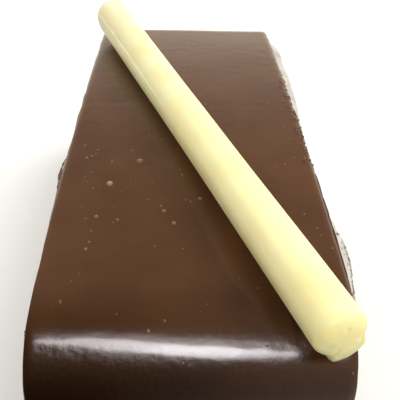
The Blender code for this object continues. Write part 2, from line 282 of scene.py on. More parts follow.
class Net:
    """The node tree of a material or world, with short calls for the nodes that are used here."""

    MIX_FACTOR, MIX_A, MIX_B, MIX_OUT = 0, 6, 7, 2

    def __init__(self, owner, shader_name="Principled BSDF"):
        owner.use_nodes = True
        self.material = owner
        self.nodes = owner.node_tree.nodes
        self.links = owner.node_tree.links
        self.shader = self.nodes[shader_name]

    def feed(self, socket, value):
        """Link an output to a socket, or set the socket to a number or colour."""
        if isinstance(value, (int, float)):
            socket.default_value = value
        elif isinstance(value, tuple):
            socket.default_value = (*value, 1.0) if len(value) < len(socket.default_value) else value
        else:
            self.links.new(value, socket)

    def set(self, **values):
        """Set or link the shader's sockets, named with underscores for spaces."""
        for name, value in values.items():
            self.feed(self.shader.inputs[name.replace("_", " ")], value)

    def millimetres(self, stretch=(1.0, 1.0, 1.0), turn=0.0):
        """Object coordinates in millimetres, turned back about Z and then scaled along each axis."""
        place = self.nodes.new("ShaderNodeTexCoord")
        mapping = self.nodes.new("ShaderNodeMapping")
        mapping.vector_type = "TEXTURE"
        mapping.inputs["Rotation"].default_value = (0.0, 0.0, turn)
        mapping.inputs["Scale"].default_value = [MM / s for s in stretch]
        self.links.new(place.outputs["Object"], mapping.inputs["Vector"])
        return mapping.outputs["Vector"]

    def split(self, vector):
        """The three parts of a vector."""
        node = self.nodes.new("ShaderNodeSeparateXYZ")
        self.links.new(vector, node.inputs[0])
        return node.outputs[:]

    def noise(self, vector, size, detail=3.0, roughness=0.5):
        """Noise between 0 and 1, with features of about the given size in millimetres."""
        node = self.nodes.new("ShaderNodeTexNoise")
        node.inputs["Scale"].default_value = 1.0 / size
        node.inputs["Detail"].default_value = detail
        node.inputs["Roughness"].default_value = roughness
        self.links.new(vector, node.inputs["Vector"])
        return node.outputs[0]

    def ramp(self, factor, *stops):
        """Colour ramp through (position, colour) stops."""
        node = self.nodes.new("ShaderNodeValToRGB")
        elements = node.color_ramp.elements
        while len(elements) < len(stops):
            elements.new(0.5)
        for element, (position, colour) in zip(elements, stops):
            element.position = position
            element.color = (*colour, 1.0)
        self.links.new(factor, node.inputs["Fac"])
        return node.outputs["Color"]

    def remap(self, value, low, high, to_low=0.0, to_high=1.0):
        """Linear map of a value, clamped."""
        node = self.nodes.new("ShaderNodeMapRange")
        limits = {"From Min": low, "From Max": high, "To Min": to_low, "To Max": to_high}
        for name, number in limits.items():
            node.inputs[name].default_value = number
        self.links.new(value, node.inputs["Value"])
        return node.outputs["Result"]

    def math(self, operation, first, second=0.0):
        """One math operation on values or numbers."""
        node = self.nodes.new("ShaderNodeMath")
        node.operation = operation
        self.feed(node.inputs[0], first)
        self.feed(node.inputs[1], second)
        return node.outputs[0]

    def weigh(self, first, second, share):
        """Sum of two values, where the first counts by its share and the second by the rest."""
        first = self.math("MULTIPLY", first, share)
        return self.math("ADD", first, self.math("MULTIPLY", second, 1 - share))

    def mix(self, factor, first, second):
        """Mix two colours."""
        node = self.nodes.new("ShaderNodeMix")
        node.data_type = "RGBA"
        self.feed(node.inputs[self.MIX_FACTOR], factor)
        self.feed(node.inputs[self.MIX_A], first)
        self.feed(node.inputs[self.MIX_B], second)
        return node.outputs[self.MIX_OUT]

    def attribute(self, name):
        """A value stored on the mesh's points."""
        node = self.nodes.new("ShaderNodeAttribute")
        node.attribute_name = name
        return node.outputs["Fac"]

    def bump(self, height, depth):
        """Bump from a height between 0 and 1, as deep as depth in metres."""
        node = self.nodes.new("ShaderNodeBump")
        node.inputs["Strength"].default_value = 1.0
        node.inputs["Distance"].default_value = depth
        self.links.new(height, node.inputs["Height"])
        return node.outputs["Normal"]


# Colours of the materials
GLAZE_DARK = (0.083, 0.0328, 0.0122)
GLAZE_LIGHT = (0.100, 0.0408, 0.0152)
BUBBLE_TAN = (0.40, 0.235, 0.135)
# Both cream tones are darkened to grey as painted shade, for the cream lying in shade under the glaze's edge
CREAM_WHITE_IN_PAINTED_SHADE = (0.62, 0.60, 0.545)
CREAM_SHADE = (0.42, 0.41, 0.37)
CREAM_SPECK = (0.16, 0.08, 0.045)
CRUMB_BROWN = (0.13, 0.078, 0.035)
CRUMB_TAN = (0.27, 0.175, 0.09)
EDGE_BROWN = (0.105, 0.043, 0.019)
EDGE_TAN = (0.23, 0.105, 0.052)
SPONGE_DARK = (0.045, 0.017, 0.008)
SPONGE_LIGHT = (0.130, 0.062, 0.034)
SPONGE_DEEP = (0.05, 0.02, 0.01)
STICK_PALE_NEAR = (0.93, 0.86, 0.47)
# The far colour is whiter as painted light, standing in for the brighter light on the stick's far end
STICK_PALE_FAR_PAINTED_LIGHT = (0.94, 0.905, 0.66)
STICK_DEEP = (0.90, 0.81, 0.40)

# How far light scatters below the surface, for red, green and blue, as shares of the scattering scale
CREAM_SCATTER = (1.0, 0.8, 0.6)
STICK_SCATTER = (1.0, 0.7, 0.3)

# Where along the slice, in millimetres, the stick's near colour starts to turn into its far one, and ends:
# painted light that makes the far end whiter
STICK_PAINTED_LIGHT_TURN = (-20.0, 50.0)

# Depths of the bumps
GLAZE_BUMP = 0.055 * MM
CREAM_BUMP = 0.08 * MM
SPONGE_BUMP = 0.35 * MM
STICK_BUMP = 0.03 * MM

# Share of the poured streaks in the glaze's bump, and of the fine grain in the sponge's colour
GLAZE_FLOW_SHARE = 0.12
SPONGE_GRAIN_SHARE = 0.55


def glaze_material():
    """Poured dark glaze: satin sheen under a thin clear gloss, slightly mottled and finely uneven."""
    net = Net(bpy.data.materials.new("dark_glaze"))
    place = net.millimetres()
    mottle = net.noise(place, size=9.0, detail=4.0)
    colour = net.ramp(mottle, (0.35, GLAZE_DARK), (0.65, GLAZE_LIGHT))
    flow = net.noise(net.millimetres(stretch=(1.0, 0.12, 0.12)), size=0.7, detail=2.0)
    skin = net.noise(place, size=0.9, detail=3.0, roughness=0.5)
    net.set(Base_Color=colour, Roughness=0.25, Specular_IOR_Level=0.2)
    net.set(Coat_Weight=0.55, Coat_Roughness=0.12, Coat_IOR=1.5)
    net.set(Normal=net.bump(net.weigh(flow, skin, GLAZE_FLOW_SHARE), GLAZE_BUMP))
    return net.material


def bubble_material():
    """Glaze skin over a bubble: tan where it is thinnest, in the middle."""
    net = Net(bpy.data.materials.new("glaze_bubble"))
    colour = net.mix(net.remap(net.attribute("pale"), 0.0, 0.85), GLAZE_DARK, BUBBLE_TAN)
    net.set(Base_Color=colour, Roughness=0.34, Specular_IOR_Level=0.2)
    net.set(Coat_Weight=0.35, Coat_Roughness=0.25, Coat_IOR=1.5)
    return net.material


def cream_material():
    """Whipped cream: off-white darkened to grey as painted shade, and soft, with fine specks of sponge
    smeared along its cut face.
    """
    net = Net(bpy.data.materials.new("whipped_cream"))
    soft = net.noise(net.millimetres(), size=5.0, detail=4.0)
    colour = net.ramp(soft, (0.3, CREAM_SHADE), (0.6, CREAM_WHITE_IN_PAINTED_SHADE))
    specks = net.noise(net.millimetres(stretch=(1.0, 0.5, 1.0)), size=1.1, detail=5.0, roughness=0.65)
    colour = net.mix(net.remap(specks, 0.66, 0.72), colour, CREAM_SPECK)
    net.set(Base_Color=colour, Roughness=0.55, Subsurface_Weight=0.25, Subsurface_Scale=2 * MM)
    net.shader.inputs["Subsurface Radius"].default_value = CREAM_SCATTER
    fine = net.noise(net.millimetres(stretch=(1.0, 0.4, 1.0)), size=0.5, detail=4.0)
    net.set(Normal=net.bump(fine, CREAM_BUMP))
    return net.material


def crumb_material(name, dark, pale):
    """Loose crumbs: rough and mottled between two browns."""
    net = Net(bpy.data.materials.new(name))
    grain = net.noise(net.millimetres(), size=0.35, detail=4.0, roughness=0.6)
    net.set(Base_Color=net.ramp(grain, (0.35, dark), (0.65, pale)), Roughness=0.9)
    return net.material


def sponge_material():
    """Chocolate sponge: dark open crumb, paler on its raised grains and darker in its pores, as painted
    shade that follows the relief.
    """
    net = Net(bpy.data.materials.new("chocolate_sponge"))
    place = net.millimetres()
    grain = net.noise(place, size=0.8, detail=6.0, roughness=0.7)
    broad = net.noise(place, size=4.0, detail=2.0)
    # The crumb's height sets its colour: painted shade darkens the pores and the raised grains are paler
    height = net.weigh(grain, net.attribute("raised"), SPONGE_GRAIN_SHARE)
    colour = net.ramp(height, (0.25, SPONGE_DARK), (0.75, SPONGE_LIGHT))
    colour = net.mix(net.remap(broad, 0.4, 0.7, 0.0, 0.35), colour, SPONGE_DEEP)
    net.set(Base_Color=colour, Roughness=0.95)
    net.set(Normal=net.bump(grain, SPONGE_BUMP))
    return net.material


def stick_material():
    """White chocolate: pale yellow and waxy, with painted light that makes it whiter towards the far end,
    and fine lengthwise marks.
    """
    net = Net(bpy.data.materials.new("white_chocolate"))
    place = net.millimetres()
    along = net.split(place)[1]
    # Painted light: the stick's colour turns whiter towards its far end
    pale = net.mix(net.remap(along, *STICK_PAINTED_LIGHT_TURN), STICK_PALE_NEAR, STICK_PALE_FAR_PAINTED_LIGHT)
    cloud = net.noise(place, size=7.0, detail=3.0)
    colour = net.mix(net.remap(cloud, 0.3, 0.62), STICK_DEEP, pale)
    marks = net.noise(net.millimetres((1.0, 0.06, 1.0), STICK_ANGLE), size=0.8, detail=3.0)
    net.set(Base_Color=colour, Roughness=0.42, Subsurface_Weight=0.7, Subsurface_Scale=4 * MM)
    net.shader.inputs["Subsurface Radius"].default_value = STICK_SCATTER
    net.set(Normal=net.bump(marks, STICK_BUMP))
    return net.material


# Glaze

GLAZE_STEP = 0.5 * MM
GLAZE_ACROSS = 84
GLAZE_EDGE_ROLL = 0.42 * MM
GLAZE_EDGE_WIDTH = 1.3 * MM
GLAZE_EDGE_WANDER = 0.16 * MM
GLAZE_EDGE_WANDER_LENGTH = 5.0 * MM
GLAZE_RIGHT_SPREAD = 0.16 * MM
GLAZE_LEFT_SPREAD = 0.08 * MM

# Bow and hollow of the glaze's sides: height, place and spread
GLAZE_RIGHT_BOW = (0.25 * MM, -35.0 * MM, 11.0 * MM)
GLAZE_LEFT_HOLLOW = (0.38 * MM, -47.0 * MM, 9.0 * MM)

GLAZE_RIGHT_TUCK = 0.35 * MM
GLAZE_RIGHT_TUCK_PLACES = (48.0 * MM, 55.0 * MM)
GLAZE_NICK = 0.5 * MM
GLAZE_NICK_FROM = 0.12
GLAZE_NICK_LENGTH = 1.5 * MM
GLAZE_NICK_OFF_TEAR = 0.35
GLAZE_TEAR_START = (-24.0 * MM, -12.0 * MM)
GLAZE_TEAR_END = (30.0 * MM, 46.0 * MM)
GLAZE_UNDER_POINTS = 14
GLAZE_UNDER_WANDER = 0.3 * MM
GLAZE_UNDER_WANDER_LENGTH = 4.0 * MM
GLAZE_UNDER_REACH = 0.995
GLAZE_UNDULATION = 0.05 * MM
GLAZE_UNDULATION_ACROSS = 13.0 * MM
GLAZE_UNDULATION_ALONG = 16.0 * MM
GLAZE_RIPPLE = 0.017 * MM
GLAZE_RIPPLE_SIZE = 2.0 * MM


def glaze_reach(y, side):
    """Half width of the glaze: a wandering cut edge, with nicks that grow along the torn right side."""
    wander = GLAZE_EDGE_WANDER * smooth_noise(y / GLAZE_EDGE_WANDER_LENGTH, SEEDS["glaze edge"] * side)
    if side < 0:
        hollow = swelling(y, GLAZE_LEFT_HOLLOW)
        return HALF_WIDTH + GLAZE_LEFT_SPREAD + wander - hollow
    torn = plateau(y, GLAZE_TEAR_START, GLAZE_TEAR_END)
    nick = max(0.0, smooth_noise(y / GLAZE_NICK_LENGTH, SEEDS["glaze nick"]) - GLAZE_NICK_FROM)
    bow = swelling(y, GLAZE_RIGHT_BOW)
    bow -= GLAZE_RIGHT_TUCK * smoothstep(*GLAZE_RIGHT_TUCK_PLACES, -y)
    nicks = GLAZE_NICK * nick * (GLAZE_NICK_OFF_TEAR + torn)
    return HALF_WIDTH + GLAZE_RIGHT_SPREAD + wander + bow - nicks


def glaze_skin_depth(x, y, z):
    """How far the skin lies below the true outline: rolled edges, slow unevenness and a fine ripple."""
    edge = max(0.0, abs(x) - (HALF_WIDTH - GLAZE_EDGE_WIDTH)) / GLAZE_EDGE_WIDTH
    roll = GLAZE_EDGE_ROLL * (1 - math.sqrt(max(0.0, 1 - min(1.0, edge) ** 2)))
    across, along = x / GLAZE_UNDULATION_ACROSS, y / GLAZE_UNDULATION_ALONG
    swell = GLAZE_UNDULATION * smooth_noise(across, along, z / GLAZE_UNDULATION_ALONG)
    fine = smooth_noise(x / GLAZE_RIPPLE_SIZE, y / GLAZE_RIPPLE_SIZE, z / GLAZE_RIPPLE_SIZE)
    return roll - swell - GLAZE_RIPPLE * fine


def glaze_ring(y, z, lean):
    """One closed section across the glaze: the upper skin from left to right, and its underside back."""
    out_y, out_z = math.sin(lean), math.cos(lean)
    left, right = glaze_reach(y, -1), glaze_reach(y, 1)
    points = []

    def place_at(share):
        return share * (right if share > 0 else left)

    def add(x, depth):
        points.append(settle(x, y - out_y * depth, z - out_z * depth))

    for k in range(GLAZE_ACROSS + 1):
        x = place_at(math.sin(math.pi / 2 * (2 * k / GLAZE_ACROSS - 1)))
        add(x, glaze_skin_depth(x, y, z))
    for k in range(GLAZE_UNDER_POINTS + 1):
        share = 1 - 2 * k / GLAZE_UNDER_POINTS
        along, up = y / GLAZE_UNDER_WANDER_LENGTH, z / GLAZE_UNDER_WANDER_LENGTH
        wander = smooth_noise(along, up, SEEDS["glaze under"] * math.copysign(1, share))
        add(place_at(share) * GLAZE_UNDER_REACH, GLAZE_THICKNESS + GLAZE_UNDER_WANDER * wander)
    return points


def make_glaze(material):
    """The glaze as one shell over the top and down both ends."""
    rings = [glaze_ring(y, z, lean) for y, z, lean in outline_places(GLAZE_STEP, GLAZE_FOOT)]
    piece = place_piece("glaze_skin", loft("glaze_skin", rings), material)
    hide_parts("glaze")


# Layers

LAYER_STEP = 0.32 * MM
LAYER_RISE_STEP = 0.32 * MM
LAYER_ACROSS = 12
LAYER_END_LENGTH = 8.0 * MM
LAYER_INSET = GLAZE_THICKNESS + SEAM_GAP

# Share by which a layer's rows are evenly spaced, rather than closer together at its upper and lower edge
LAYER_EVENNESS = 0.65

# How suddenly a cut side falls back at its ends, and a sponge at its upper and lower edge
END_FADE_POWER = 14
SPONGE_EDGE_POWER = 6

# Unevenness of the cut sides: length, height, and where it is read from the noise
LUMP = (4.0 * MM, 4.0 * MM, 11.3)
GRAIN = (1.3 * MM, 1.3 * MM, 5.1)
GRIT = (0.6 * MM, 0.6 * MM, 2.7)
PORE = (2.1 * MM, 1.7 * MM, 7.7)
DRAG = (7.0 * MM, 1.1 * MM, 3.3)
SOFT = (2.5 * MM, 2.0 * MM, 6.1)
HOLE = (4.5 * MM, 4.5 * MM, 1.9)
PORE_RADIUS = 0.45
HOLE_RADIUS = 0.16

# Torn crumb of the sponge: its reach, how much of it is left at a layer's edges, and its depths
SPONGE_REACH = 0.45 * MM
SPONGE_EDGE_SHARE = 0.3
LUMP_DEPTH = 0.30 * MM
GRAIN_DEPTH = 0.24 * MM
GRIT_DEPTH = 0.12 * MM
PORE_DEPTH = 0.75 * MM

# How raised the crumb is from 0 to 1: where it is flat, what grain and grit add, what a pore takes away; the
# sponge's colour follows it as painted shade in the pores and paler raised grains
RAISED_LEVEL = 0.6
RAISED_BY_GRAIN = 0.5
RAISED_BY_GRIT = 0.3
LOWERED_BY_PORE = 1.2
RAISED_UNSEEN = 0.5

# Depths in the cut face of the cream
DRAG_DEPTH = 0.10 * MM
SOFT_DEPTH = 0.10 * MM
HOLE_DEPTH = 0.45 * MM

# Squeezed cream: how far it stands out, and its knobs and its dip as height, place and spread
CREAM_UPPER_INSET = 0.2 * MM
CREAM_LOWER_BULGE = 1.08 * MM
CREAM_LEFT_BULGE = 1.0 * MM
CREAM_LEFT_PEAK = 1.25
CREAM_LEFT_KNOB = (0.95 * MM, -17.5 * MM, 6.5 * MM)
CREAM_RIGHT_BULGE = 1.9 * MM
CREAM_RIGHT_PEAK = 2.8
CREAM_FAR_SWELL = 1.3 * MM
CREAM_FAR_SWELL_RISE = (-10.0 * MM, 25.0 * MM)
CREAM_FAR_KNOB = (0.5 * MM, 45.0 * MM, 5.0 * MM)
CREAM_FAR_STOP = (49.0 * MM, 54.0 * MM)
CREAM_NEAR_KNOB = (0.9 * MM, -38.0 * MM, 7.0 * MM)
CREAM_NEAR_STOP = (46.0 * MM, 58.0 * MM)
CREAM_MIDDLE_DIP = (0.6 * MM, -16.0 * MM, 10.0 * MM)
CREAM_RIPPLE = 0.35 * MM
CREAM_RIPPLE_SIZE = 11.0 * MM


def end_fade(y):
    """1 along a cut side, falling to 0 in a short curve at both ends."""
    return math.sqrt(max(0.0, 1 - abs(y / HALF_LENGTH) ** END_FADE_POWER))


def ripple(y, side):
    """Slow unevenness of a squeezed cream edge."""
    return CREAM_RIPPLE * smooth_noise(y / CREAM_RIPPLE_SIZE, SEEDS["cream ripple"] * side)


def side_noise(y, z, side, kind):
    """Unevenness of one kind at a place of a cut side, between about -1 and 1."""
    length, height, seed = kind
    return smooth_noise(y / length, z / height, seed * side)


def side_pit(y, z, side, kind, radius):
    """1 in the middle of the nearest pit of a cut side, and 0 from its radius on."""
    length, height, seed = kind
    nearest = noise.voronoi(Vector((y / length, z / height, seed * side)))[0][0]
    return max(0.0, 1 - (nearest / radius) ** 2)


def sponge_relief(y, z, side):
    """Torn crumb: how far it stands in or out, and how raised it is from 0 to 1."""
    lump, grain, grit = (side_noise(y, z, side, kind) for kind in (LUMP, GRAIN, GRIT))
    pore = side_pit(y, z, side, PORE, PORE_RADIUS)
    relief = LUMP_DEPTH * lump + GRAIN_DEPTH * grain + GRIT_DEPTH * grit - PORE_DEPTH * pore
    raised = RAISED_LEVEL + RAISED_BY_GRAIN * grain + RAISED_BY_GRIT * grit - LOWERED_BY_PORE * pore
    return relief, min(1.0, max(0.0, raised))


def sponge_side(y, z, rise, side):
    """Half width of a sponge layer and how raised its crumb is."""
    relief, raised = sponge_relief(y, z, side)
    edge = math.sqrt(max(0.0, 1 - (2 * rise - 1) ** SPONGE_EDGE_POWER))
    fullness = SPONGE_EDGE_SHARE + (1 - SPONGE_EDGE_SHARE) * edge
    return HALF_WIDTH + (SPONGE_REACH + relief) * fullness, raised


def cream_relief(y, z, side):
    """Soft drag marks and a few small holes in a cut cream face."""
    relief = DRAG_DEPTH * side_noise(y, z, side, DRAG) + SOFT_DEPTH * side_noise(y, z, side, SOFT)
    return relief - HOLE_DEPTH * side_pit(y, z, side, HOLE, HOLE_RADIUS)


def lower_cream_side(y, z, rise, side):
    """Half width of the lower cream, squeezed out a little between the two sponges."""
    bulge = (CREAM_LOWER_BULGE + ripple(y, side)) * math.sin(math.pi * rise) * end_fade(y)
    return HALF_WIDTH + bulge + cream_relief(y, z, side), 0.0


def right_bulge(y):
    """How far the upper cream is squeezed out on the right: most in the far half, none at the near end."""
    most = CREAM_RIGHT_BULGE + CREAM_FAR_SWELL * smoothstep(*CREAM_FAR_SWELL_RISE, y)
    most += swelling(y, CREAM_FAR_KNOB) + swelling(y, CREAM_NEAR_KNOB) - swelling(y, CREAM_MIDDLE_DIP)
    return most * (1 - smoothstep(*CREAM_FAR_STOP, y)) * (1 - smoothstep(*CREAM_NEAR_STOP, -y))


def upper_cream_side(y, z, rise, side):
    """Half width of the upper cream, which bulges most on the right, close under the glaze."""
    share = min(1.0, max(0.0, rise))
    high = math.sin(math.pi * share ** CREAM_RIGHT_PEAK)
    low = math.sin(math.pi * share ** CREAM_LEFT_PEAK)
    if side > 0:
        bulge = (right_bulge(y) + ripple(y, side)) * high
    else:
        knob = swelling(y, CREAM_LEFT_KNOB)
        bulge = (CREAM_LEFT_BULGE + ripple(y, side)) * low + knob * high
    fade = math.sqrt(max(0.0, math.sin(math.pi * share)))
    relief = cream_relief(y, z, side) * fade
    return HALF_WIDTH - CREAM_UPPER_INSET + bulge * end_fade(y) + relief, 0.0


def upper_cream_top(y):
    """Height of the upper cream, close under the glaze."""
    return max(SPONGE_MIDDLE_TOP + 2 * SEAM_GAP, top_height(y, LAYER_INSET))


def layer_ring(y, low, high, side_rule, rises):
    """One closed section across a layer: up the right side, over the top, down the left, along the foot."""
    edges = {1: [], -1: []}
    for side, edge in edges.items():
        for rise in rises:
            z = low + rise * (high - low)
            reach, value = side_rule(y, z, rise, side)
            edge.append((side * reach, z, value))

    def across(start, end):
        shares = [k / LAYER_ACROSS for k in range(1, LAYER_ACROSS)]
        return [(start[0] * (1 - share) + end[0] * share, start[1], RAISED_UNSEEN) for share in shares]

    ring = edges[1] + across(edges[1][-1], edges[-1][-1])
    ring += edges[-1][::-1] + across(edges[-1][0], edges[1][0])
    return [settle(x, y, z) for x, z, value in ring], [value for x, z, value in ring]


def make_layer(name, low, high_rule, side_rule, material, node):
    """One layer of the slice, lofted from end to end between the two sheets of glaze."""
    inside = HALF_LENGTH - LAYER_INSET
    top = high_rule(0.0)
    rise_count = round((top - low) / LAYER_RISE_STEP)
    rises = []
    for k in range(rise_count + 1):
        crowded = 0.5 - 0.5 * math.cos(math.pi * k / rise_count)
        rises.append((1 - LAYER_EVENNESS) * crowded + LAYER_EVENNESS * k / rise_count)
    rings = []
    raised = []
    for y in clustered(-inside, inside, LAYER_STEP, LAYER_END_LENGTH):
        points, values = layer_ring(y, low, high_rule(y), side_rule, rises)
        rings.append(points)
        raised += values
    mesh = loft(name, [ring[::-1] for ring in rings])
    store(mesh, "raised", np.asarray(raised).reshape(len(rings), -1)[:, ::-1].ravel())
    piece = place_piece(name, mesh, material)
    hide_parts(node)


def make_layers(sponge, cream):
    """Base sponge, lower cream, middle sponge and upper cream, each on the one before."""
    low = 0.0
    for name, high_rule, side_rule, material, slot_name, node in (
            ("sponge_base_crumb", lambda y: SPONGE_BASE_TOP, sponge_side, sponge,
             "chocolate_sponge", "sponge_base"),
            ("cream_lower_soft", lambda y: CREAM_LOWER_TOP, lower_cream_side, cream,
             "whipped_cream", "cream_lower"),
            ("sponge_middle_crumb", lambda y: SPONGE_MIDDLE_TOP, sponge_side, sponge,
             "chocolate_sponge", "sponge_middle"),
            ("cream_upper_soft", upper_cream_top, upper_cream_side, cream,
             "whipped_cream", "cream_upper")):
        make_layer(name, low, high_rule, side_rule, material, node)
        low = high_rule(0.0) + SEAM_GAP


# Rolled stick

STICK_SIDES = 180
STICK_STEP = 0.8 * MM
STICK_FINE_STEP = 0.1 * MM
STICK_FINE_LENGTH = 3.0 * MM
STICK_END_RINGS = 22
STICK_FACE_CENTRE = 0.01
STICK_FACE_RIM = 0.999
STICK_SEAM_STEP = 0.30 * MM
STICK_SEAM_ANGLE = math.radians(157.0)
STICK_SEAM_GROOVE = 0.16 * MM
STICK_SEAM_WIDTH = math.radians(2.6)
STICK_SEAM_RISE = (0.45, 0.72)
STICK_SEAM_DASH = 5.0 * MM
STICK_SEAM_DASH_LEVELS = (-0.05, 0.25)
STICK_FLAP_BACK = 2.1 * MM
STICK_FLAP_EDGE = 0.3 * MM
STICK_FLAP_SPAN = math.radians(150.0)
STICK_DOME = 1.7 * MM
STICK_DOME_POWER = 2.6
STICK_LIP = 0.45 * MM
STICK_LOOSE_RISE = (math.radians(246.0), math.radians(264.0))
STICK_LOOSE_FALL = (math.radians(325.0), math.radians(352.0))
STICK_FLARE = 0.85 * MM
STICK_FLARE_LENGTH = 5.0 * MM

# Groove of the outer wrap on the end faces, in turns past the loose edge and shares of the radius
STICK_WRAP_GROOVE = 0.14 * MM
STICK_WRAP_RISE = (0.0, 0.06)
STICK_WRAP_FALL = (0.30, 0.48)
STICK_WRAP_INNER = 0.62
STICK_WRAP_UNWIND = 0.5
STICK_WRAP_WIDTH = 0.07

# Unevenness of the end faces: height, and lumps across the radius
STICK_FACE_UNEVENNESS = 0.08 * MM
STICK_FACE_LUMPS = 2.5

# Unevenness along the stick: height, how fast it changes around, and its length
STICK_UNEVENNESS = ((0.05 * MM, 2.0, 22.0 * MM), (0.012 * MM, 9.0, 30.0 * MM))

# Marks on the near face: angle, share of the radius, size as a share, depth
STICK_FACE_MARKS = (
    (math.radians(89.0), 0.40, 0.10, 0.30 * MM),
    (math.radians(201.0), 0.61, 0.17, 0.22 * MM),
    (math.radians(334.0), 0.72, 0.24, 0.30 * MM),
)


def turn_between(angle, start):
    """How far an angle lies past a start, from 0 to one full turn."""
    return (angle - start) % math.tau


def loose_wrap(angle):
    """1 where the outer wrap has come loose at the near end, and 0 elsewhere."""
    return plateau(angle % math.tau, STICK_LOOSE_RISE, STICK_LOOSE_FALL)


def end_cut(angle, fraction, near):
    """How far the stick's blunt end is cut back at one place of its face."""
    cut = STICK_DOME * (1 - max(0.0, 1 - fraction ** STICK_DOME_POWER) ** (1 / STICK_DOME_POWER))
    turn = turn_between(angle, STICK_LOOSE_RISE[0]) / math.tau
    fade = plateau(turn, STICK_WRAP_RISE, STICK_WRAP_FALL)
    groove = hump(fraction, STICK_WRAP_INNER + STICK_WRAP_UNWIND * turn, STICK_WRAP_WIDTH)
    cut += STICK_WRAP_GROOVE * fade * groove
    across, up = fraction * math.cos(angle), fraction * math.sin(angle)
    if near:
        cut -= STICK_LIP * fraction ** 2 * loose_wrap(angle)
        for mark_angle, mark_share, mark_size, mark_depth in STICK_FACE_MARKS:
            aside = across - mark_share * math.cos(mark_angle)
            above = up - mark_share * math.sin(mark_angle)
            cut += mark_depth * hump(math.hypot(aside, above), 0.0, mark_size)
    lumps = smooth_noise(STICK_FACE_LUMPS * across, STICK_FACE_LUMPS * up, SEEDS["stick face"])
    return cut + STICK_FACE_UNEVENNESS * lumps


def mean_radius(share):
    """Radius of the roll at a share of its length; it widens slowly towards the far end."""
    return STICK_NEAR_RADIUS + (STICK_FAR_RADIUS - STICK_NEAR_RADIUS) * share ** 2


def stick_radius(angle, along):
    """Outer radius: a slow taper, the rolled sheet's edge, its loose near end, and faint unevenness."""
    share = along / STICK_LENGTH
    past = turn_between(angle, STICK_SEAM_ANGLE)
    strength = smoothstep(*STICK_SEAM_RISE, share)
    radius = mean_radius(share) + STICK_SEAM_STEP * strength * (0.5 - past / math.tau)
    seam_noise = smooth_noise(along / STICK_SEAM_DASH, SEEDS["seam dash"])
    dash = smoothstep(*STICK_SEAM_DASH_LEVELS, seam_noise)
    off_seam = min(past, math.tau - past)
    radius -= STICK_SEAM_GROOVE * strength ** 2 * dash * hump(off_seam, 0.0, STICK_SEAM_WIDTH)
    flap_end = STICK_LENGTH - STICK_FLAP_BACK
    beyond_flap = smoothstep(flap_end - STICK_FLAP_EDGE, flap_end, along)
    beyond_flap *= 1 - smoothstep(0.5 * STICK_FLAP_SPAN, STICK_FLAP_SPAN, past)
    radius += STICK_FLARE * loose_wrap(angle) * hump(along, 0.0, STICK_FLARE_LENGTH)
    for height, around, length in STICK_UNEVENNESS:
        radius += height * smooth_noise(around * math.cos(angle), around * math.sin(angle), along / length)
    return radius - STICK_SEAM_STEP * beyond_flap


def stick_lay():
    """Matrix from the stick's own frame, along +Y from its near end, to its place on the crown."""
    slope = math.tan(STICK_PITCH)
    direction = Vector((-math.sin(STICK_ANGLE), math.cos(STICK_ANGLE), slope)).normalized()
    height = SLICE_HEIGHT + STICK_LIFT + mean_radius(STICK_NEAR_OF_CROSSING / STICK_LENGTH)
    crossing = Vector((STICK_CROSSING.x, STICK_CROSSING.y, height))
    lay = Matrix.Translation(crossing - STICK_NEAR_OF_CROSSING * direction)
    return lay @ Matrix.Rotation(STICK_ANGLE, 4, "Z") @ Matrix.Rotation(STICK_PITCH, 4, "X")


def make_stick(material):
    """The rolled white chocolate stick, lying on the crown."""
    angles = [math.tau * k / STICK_SIDES for k in range(STICK_SIDES)]
    rounded = [math.sin(math.pi / 2 * k / STICK_END_RINGS) for k in range(1, STICK_END_RINGS)]
    fractions = [STICK_FACE_CENTRE] + rounded + [STICK_FACE_RIM]
    fine = [STICK_FINE_STEP * (k + 1) for k in range(round(STICK_FINE_LENGTH / STICK_FINE_STEP))]
    coarse_count = round((STICK_LENGTH - 2 * STICK_FINE_LENGTH) / STICK_STEP)
    coarse = [STICK_FINE_LENGTH + STICK_STEP * k for k in range(1, coarse_count)]
    body = [0.0] + fine + coarse + [STICK_LENGTH - along for along in fine[::-1]] + [STICK_LENGTH]
    rings = []

    def add_ring(fraction, along, near_share):
        ring = []
        for angle in angles:
            radius = stick_radius(angle, along) * fraction
            near_cut = end_cut(angle, fraction, True) * near_share
            far_cut = end_cut(angle, fraction, False) * (1 - near_share)
            ring.append((radius * math.cos(angle), along + near_cut - far_cut, radius * math.sin(angle)))
        rings.append(ring)

    for fraction in fractions:
        add_ring(fraction, 0.0, 1.0)
    for along in body:
        add_ring(1.0, along, 1 - along / STICK_LENGTH)
    for fraction in fractions[::-1]:
        add_ring(fraction, STICK_LENGTH, 0.0)
    mesh = loft("stick_roll", [ring[::-1] for ring in rings], sharp=50)
    mesh.transform(stick_lay())
    piece = place_piece("stick_roll", mesh, material)
    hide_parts("white_chocolate_stick")


# Bubbles in the glaze

BUBBLE_RINGS = 5
BUBBLE_SIDES = 14
BUBBLE_SINK = 0.06 * MM
BUBBLE_STRETCH = 1.3
BUBBLE_UNEVENNESS = 0.12
BUBBLE_LUMPS = 2
BUBBLE_SEEN_HEIGHT = 0.34

# Fine bubbles all over: how many, their radii, how pale, height as a share of the radius, free margins
BUBBLE_SEED = 7
BUBBLE_COUNT = 170
BUBBLE_SMALLEST = 0.10 * MM
BUBBLE_LARGEST = 0.24 * MM
BUBBLE_FINE_PALE = (0.15, 0.5)
BUBBLE_FINE_HEIGHT = 0.2
BUBBLE_SIDE_MARGIN = 1.5 * MM
BUBBLE_END_MARGIN = 4.0 * MM

